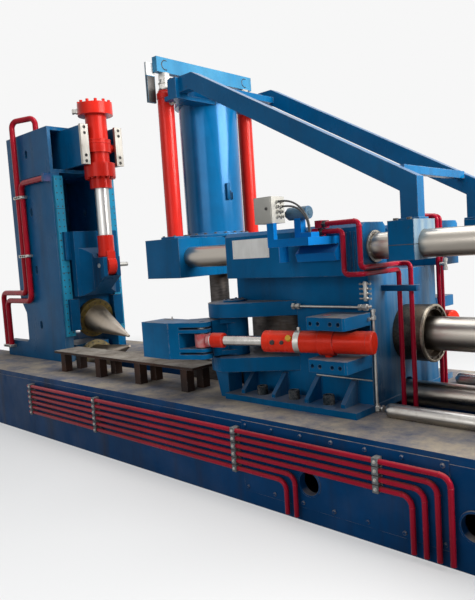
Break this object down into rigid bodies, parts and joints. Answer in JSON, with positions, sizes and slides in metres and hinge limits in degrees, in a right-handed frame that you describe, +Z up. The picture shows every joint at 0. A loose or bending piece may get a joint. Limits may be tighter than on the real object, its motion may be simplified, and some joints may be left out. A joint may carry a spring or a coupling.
{
  "type": "ring rolling machine",
  "caption": "Horizontal radial and axial ring rolling machine with a long bed, a tall axial stand with conical rolls, a mandrel tower on rods, and centring arms",
  "frame": {"origin": "on the floor below the mandrel's axis, on the machine's centre plane", "axes": "+X runs along the bed from the axial stand towards the rear yoke, +Y to the side away from the pipe rack, +Z up"},
  "size_m": [9.4, 2.4, 3.932],
  "materials": {
    "navy": "worn gloss paint",
    "sky": "worn gloss paint",
    "bed": "dusty paint",
    "red": "gloss paint",
    "orange": "gloss paint",
    "bright": "ground",
    "rod": "polished",
    "cone": "turned, heat tinted",
    "grey": "satin paint",
    "dark": "scaled",
    "cable": "black sheath"
  },
  "bodies": {
    "frame": {"near_girder": "bed", "far_girder": "bed", "channel_floor": "bed", "sensor_bracket": "sky", "housing_pipes": "red", "outer_cable": "cable", "inner_cable": "cable", "bed_pipes": "red", "pipe_clamps": "navy", "rear_rails": "bright", "radial_stand": "navy", "anchor_nuts": "dark", "lower_nose": "navy", "upper_nose": "sky", "nose_legs": "navy", "pivot_pins": "bright", "main_roll": "dark", "cylinder_ring": "navy", "trunnion_brackets": "navy", "guide_housings": "sky", "support_tables": "dark", "control_box": "grey", "name_plate": "grey"},
    "axial_stand": {"axial_cheeks": "navy", "axial_head": "navy", "mounting_bars": "bright", "guide_strips": "sky", "lower_cone_housing": "navy", "axial_cylinder": "red", "axial_pipes": "red"},
    "lower_cone": {"lower_cone": "cone"},
    "axial_slide": {"axial_slide": "navy", "axial_rod": "rod", "axial_rod_eye": "bright", "axial_pin": "bright"},
    "upper_cone": {"upper_cone": "cone"},
    "carriage": {"crosshead": "sky", "tie_rods": "rod", "main_rod": "rod", "lower_rod": "rod", "clamp_blocks": "navy", "rear_yoke": "navy", "lower_crosshead": "dark", "mandrel_tube": "navy", "lift_cylinders": "red", "brace_frame": "sky", "brace_mount": "sky"},
    "mandrel_lift": {"crossbar": "sky", "lift_rods": "rod", "mandrel": "bright"},
    "near_arm": {"near_arm": "navy", "near_centring_roll": "bright", "near_eye_pin": "bright"},
    "near_cylinder": {"near_arm_cylinder": "orange"},
    "near_rod": {"near_arm_rod": "rod"},
    "far_arm": {"far_arm": "navy", "far_centring_roll": "bright", "far_eye_pin": "bright"},
    "far_cylinder": {"far_arm_cylinder": "orange"},
    "far_rod": {"far_arm_rod": "rod"}
  },
  "joints": [
    {"name": "axial_travel", "type": "slide", "parent": "frame", "child": "axial_stand", "axis": [1, 0, 0], "range_m": [-0.9, 0.5]},
    {"name": "lower_cone_spin", "type": "hinge", "parent": "axial_stand", "child": "lower_cone", "pos_m": [-1.6, 0, 0.905], "axis": [-0.9588, 0, -0.284], "continuous": true},
    {"name": "axial_lift", "type": "slide", "parent": "axial_stand", "child": "axial_slide", "axis": [0, 0, 1], "range_m": [-0.03, 0.55]},
    {"name": "upper_cone_spin", "type": "hinge", "parent": "axial_slide", "child": "upper_cone", "pos_m": [-1.6, 0, 0.995], "axis": [-0.9588, 0, 0.284], "continuous": true},
    {"name": "carriage_travel", "type": "slide", "parent": "frame", "child": "carriage", "axis": [1, 0, 0], "range_m": [-0.15, 0.44]},
    {"name": "mandrel_rise", "type": "slide", "parent": "carriage", "child": "mandrel_lift", "axis": [0, 0, 1], "range_m": [0, 0.85]},
    {"name": "near_arm_swing", "type": "hinge", "parent": "frame", "child": "near_arm", "pos_m": [0.85, -0.67, 1.25], "axis": [0, 0, 1], "range_deg": [-18, 6]},
    {"name": "near_cylinder_swing", "type": "hinge", "parent": "frame", "child": "near_cylinder", "pos_m": [1.88, -0.75, 1.25], "axis": [0, 0, 1], "range_deg": [-2.4, 0.8]},
    {"name": "near_rod_stroke", "type": "slide", "parent": "near_cylinder", "child": "near_rod", "axis": [-0.9707, -0.2404, 0], "range_m": [-0.03574, 0.10721]},
    {"name": "far_arm_swing", "type": "hinge", "parent": "frame", "child": "far_arm", "pos_m": [0.85, 0.67, 1.25], "axis": [0, 0, 1], "range_deg": [-6, 18]},
    {"name": "far_cylinder_swing", "type": "hinge", "parent": "frame", "child": "far_cylinder", "pos_m": [1.88, 0.75, 1.25], "axis": [0, 0, 1], "range_deg": [-0.8, 2.4]},
    {"name": "far_rod_stroke", "type": "slide", "parent": "far_cylinder", "child": "far_rod", "axis": [-0.9707, 0.2404, 0], "range_m": [-0.03574, 0.10721]}
  ],
  "couplings": [
    {"joint": "near_cylinder_swing", "follows": "near_arm_swing", "ratio": 0.127},
    {"joint": "near_rod_stroke", "follows": "near_arm_swing", "m_per_rad": -0.325},
    {"joint": "far_cylinder_swing", "follows": "far_arm_swing", "ratio": 0.127},
    {"joint": "far_rod_stroke", "follows": "far_arm_swing", "m_per_rad": 0.325}
  ]
}
